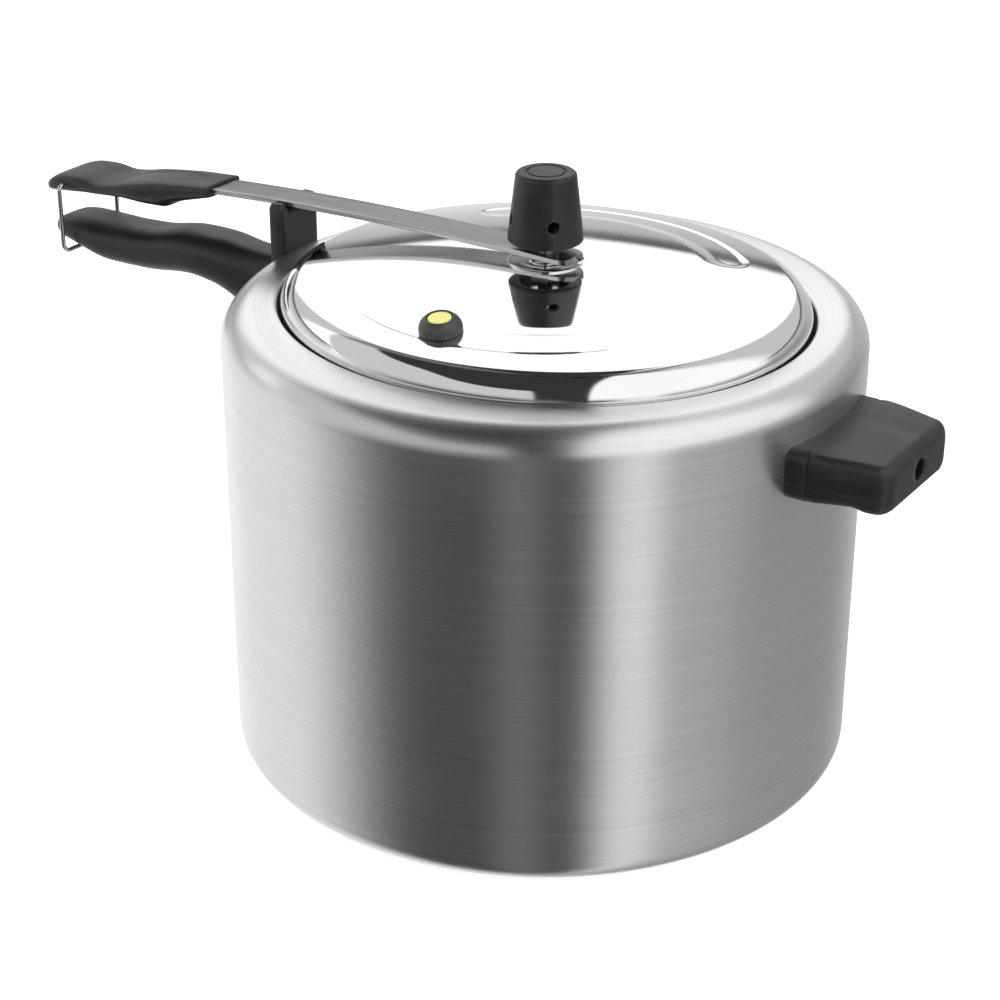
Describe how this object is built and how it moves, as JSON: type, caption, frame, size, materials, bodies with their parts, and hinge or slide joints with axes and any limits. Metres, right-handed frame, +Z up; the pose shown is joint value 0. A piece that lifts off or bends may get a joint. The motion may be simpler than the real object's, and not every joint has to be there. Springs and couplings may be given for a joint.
{
  "type": "pressure cooker",
  "caption": "Round aluminium pressure cooker with an oval internal lid held up by a steel strap lever, two black handles, a wire latch and a lift-off vent weight.",
  "frame": {"origin": "centre of the pot's base, on the surface it stands on", "axes": "+Z up, long handle towards -X, side handle towards +X, safety plug towards -Y"},
  "size_m": [0.4235, 0.26, 0.2457],
  "materials": {
    "pot_aluminium": "brushed round the wall, satin",
    "lid_aluminium": "polished to a mirror",
    "cast_aluminium": "as cast",
    "rivet_aluminium": "as set",
    "phenolic": "satin black moulding",
    "zinc_steel": "zinc plated",
    "strap_steel": "polished stainless strip",
    "wire_steel": "bright drawn wire",
    "stem_brass": "nickel plated brass",
    "gasket_rubber": "moulded",
    "plug_rubber": "moulded",
    "insert_yellow": "moulded"
  },
  "bodies": {
    "pot": {"pot_body": "pot_aluminium", "long_handle_bracket": "cast_aluminium", "long_handle_rivets": "rivet_aluminium", "long_handle": "phenolic", "long_handle_screw": "zinc_steel", "side_handle_bracket": "cast_aluminium", "side_handle_rivets": "rivet_aluminium", "side_handle": "phenolic", "side_handle_screw": "zinc_steel"},
    "lever": {"strap": "strap_steel", "lid_grip": "phenolic", "lid_grip_screw": "zinc_steel"},
    "bail": {"bail": "wire_steel"},
    "lid": {"lid": "lid_aluminium", "gasket": "gasket_rubber", "lid_disc": "lid_aluminium", "vent_stem": "stem_brass", "strap_nut": "zinc_steel", "stem_seal": "gasket_rubber", "stem_nut": "zinc_steel", "vent_filter": "zinc_steel", "safety_plug": "plug_rubber", "safety_insert": "insert_yellow"},
    "weight": {"weight_cap": "phenolic", "weight_core": "stem_brass"}
  },
  "joints": [
    {"name": "lever_lift", "type": "hinge", "parent": "pot", "child": "lever", "pos_m": [-0.12625, 0, 0.20616], "axis": [0, 1, 0], "range_deg": [0, 6]},
    {"name": "lid_level", "type": "hinge", "parent": "lever", "child": "lid", "pos_m": [0, 0, 0.2123], "axis": [0, 1, 0], "range_deg": [-6.5, 0.5]},
    {"name": "bail_swing", "type": "hinge", "parent": "lever", "child": "bail", "pos_m": [-0.243, 0, 0.2], "axis": [0, 1, 0], "range_deg": [0, 104]},
    {"name": "weight_lift", "type": "slide", "parent": "lid", "child": "weight", "axis": [0, 0, 1], "range_m": [0, 0.045]}
  ],
  "couplings": [
    {"joint": "lid_level", "follows": "lever_lift", "ratio": -1},
    {"joint": "bail_swing", "follows": "lever_lift", "ratio": 17}
  ]
}
